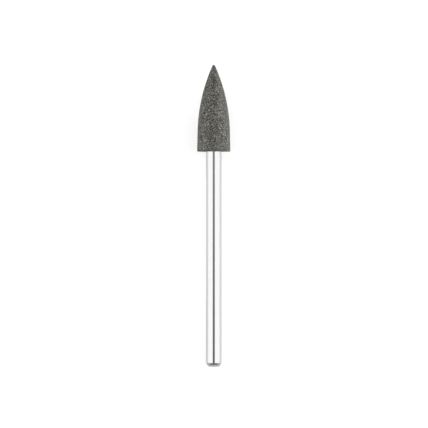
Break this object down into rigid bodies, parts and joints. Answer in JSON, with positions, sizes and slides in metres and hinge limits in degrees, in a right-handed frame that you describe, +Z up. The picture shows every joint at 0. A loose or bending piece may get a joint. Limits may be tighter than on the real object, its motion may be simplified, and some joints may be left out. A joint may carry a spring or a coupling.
{
  "type": "silicone polishing point",
  "caption": "Pointed grey silicone polishing head with abrasive grain, moulded onto a straight bright steel mandrel for a handpiece or rotary tool.",
  "frame": {"origin": "under the middle of the part, on the flat surface that it lies on", "axes": "+Z up; +Y along the part towards the pointed nose; the part lies on the head's rim and the end of its shank, so its own axis leans up 2.41 degrees from +Y; X is across"},
  "size_m": [0.005, 0.0452, 0.0051],
  "materials": {
    "mandrel_steel": "bright nickel plate over steel, polished",
    "silicone_abrasive": "matte grey silicone filled with fine light and dark abrasive grain"
  },
  "bodies": {
    "root": {"mandrel": "mandrel_steel", "polishing_head": "silicone_abrasive"}
  },
  "joints": []
}
